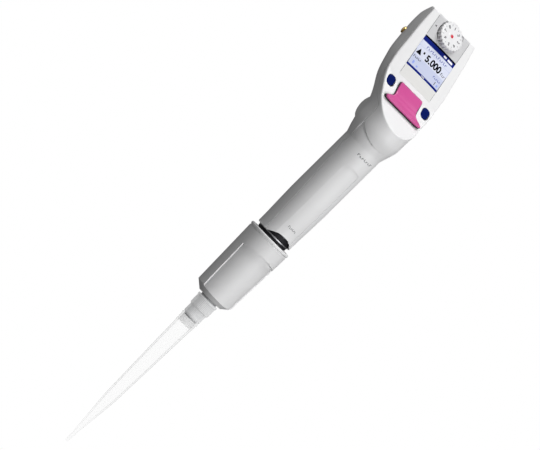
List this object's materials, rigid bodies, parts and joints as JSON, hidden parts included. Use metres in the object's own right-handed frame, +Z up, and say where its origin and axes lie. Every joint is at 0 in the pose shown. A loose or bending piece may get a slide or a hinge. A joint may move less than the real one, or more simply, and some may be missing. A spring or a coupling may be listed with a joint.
{
  "type": "electronic pipette",
  "caption": "Hand-held electronic pipette with a tilted display head, selection dial, rocker, ejector cuff, round handle, sleeved lower part and long tip.",
  "frame": {"origin": "centre of the tip's outlet, the lowest point of the pipette", "axes": "+Z up along the pipette's long axis, display facing -Y, +X to the user's right"},
  "size_m": [0.046, 0.0553, 0.3447],
  "materials": {
    "shell_white": "satin moulded",
    "tip_clear": "translucent polypropylene",
    "tip_cone_plastic": "satin",
    "rocker_pink": "satin",
    "key_blue": "gloss",
    "dial_white": "satin",
    "marker_red": "gloss",
    "panel_silver": "fine silver paint",
    "panel_light": "satin",
    "window_clear": "clear polished",
    "display_face": "backlit panel",
    "collar_black": "moulded",
    "steel": "ground",
    "aluminium_alloy": "machined",
    "rotor_iron": "laminated stack",
    "brass_contact": "turned",
    "seal_rubber": "moulded",
    "filter_white": "sintered porous",
    "board_green": "laminate"
  },
  "bodies": {
    "housing": {"nozzle": "tip_cone_plastic", "nozzle_o_ring": "seal_rubber", "tip_filter": "filter_white", "cylinder": "tip_cone_plastic", "guide_rods": "steel", "lower_bearing": "steel", "upper_bearing": "steel", "motor_body": "aluminium_alloy", "motor_plate": "aluminium_alloy", "motor_screws": "steel", "drive_base": "aluminium_alloy", "rod_bush": "brass_contact", "coupling_collar": "collar_black", "lock_ring": "steel", "ejector_spring": "steel", "handle_front_shell": "shell_white", "rear_shell": "shell_white", "finger_rest": "shell_white", "front_bezel": "shell_white", "dial_panel": "panel_silver", "lower_panel": "panel_light", "display_window": "window_clear", "display_module": "display_face", "main_board": "board_green", "board_screws": "steel", "rocker_pin": "steel", "rocker_switch": "collar_black", "key_switches": "collar_black", "dial_encoder": "collar_black", "battery": "aluminium_alloy", "battery_cover": "shell_white", "power_socket": "collar_black", "charging_contacts": "brass_contact"},
    "ejector": {"ejector_button": "shell_white", "ejector_yoke": "collar_black", "ejector_rod": "steel", "ejector_sleeve": "shell_white"},
    "tip_unit": {"tip": "tip_clear"},
    "rotor_unit": {"motor_rotor": "rotor_iron", "lead_screw": "steel"},
    "piston_unit": {"piston": "collar_black", "piston_seal": "seal_rubber", "piston_rod": "steel", "drive_nut": "collar_black"},
    "rocker_unit": {"rocker": "rocker_pink"},
    "left_key": {"left_softkey": "key_blue"},
    "right_key": {"right_softkey": "key_blue"},
    "dial_unit": {"selection_dial": "dial_white", "dial_marker": "marker_red"}
  },
  "joints": [
    {"name": "ejector_slide", "type": "slide", "parent": "housing", "child": "ejector", "axis": [0, 0, -1], "range_m": [0, 0.009], "stiffness_N_per_m": 120, "springref_m": -0.002, "deforming": ["ejector_spring"]},
    {"name": "tip_slide", "type": "slide", "parent": "ejector", "child": "tip_unit", "axis": [0, 0, -1], "range_m": [0, 0.03]},
    {"name": "rotor_spin", "type": "hinge", "parent": "housing", "child": "rotor_unit", "pos_m": [0, 0, 0.236], "axis": [0, 0, 1], "range_deg": [-180, 2250]},
    {"name": "piston_slide", "type": "slide", "parent": "housing", "child": "piston_unit", "axis": [0, 0, 1], "range_m": [-0.002, 0.025]},
    {"name": "rocker_tilt", "type": "hinge", "parent": "housing", "child": "rocker_unit", "pos_m": [0, 0.00287, 0.28887], "axis": [1, 0, 0], "range_deg": [-4, 4], "stiffness_Nm_per_rad": 0.05},
    {"name": "left_key_press", "type": "slide", "parent": "housing", "child": "left_key", "axis": [0, 0.9272, -0.3746], "range_m": [0, 0.0006], "stiffness_N_per_m": 200},
    {"name": "right_key_press", "type": "slide", "parent": "housing", "child": "right_key", "axis": [0, 0.9272, -0.3746], "range_m": [0, 0.0006], "stiffness_N_per_m": 200},
    {"name": "dial_turn", "type": "hinge", "parent": "housing", "child": "dial_unit", "pos_m": [0, 0.021, 0.3375], "axis": [0, -0.766, 0.6428], "continuous": true}
  ],
  "couplings": [
    {"joint": "rotor_spin", "follows": "piston_slide", "rad_per_m": 1570.8}
  ]
}
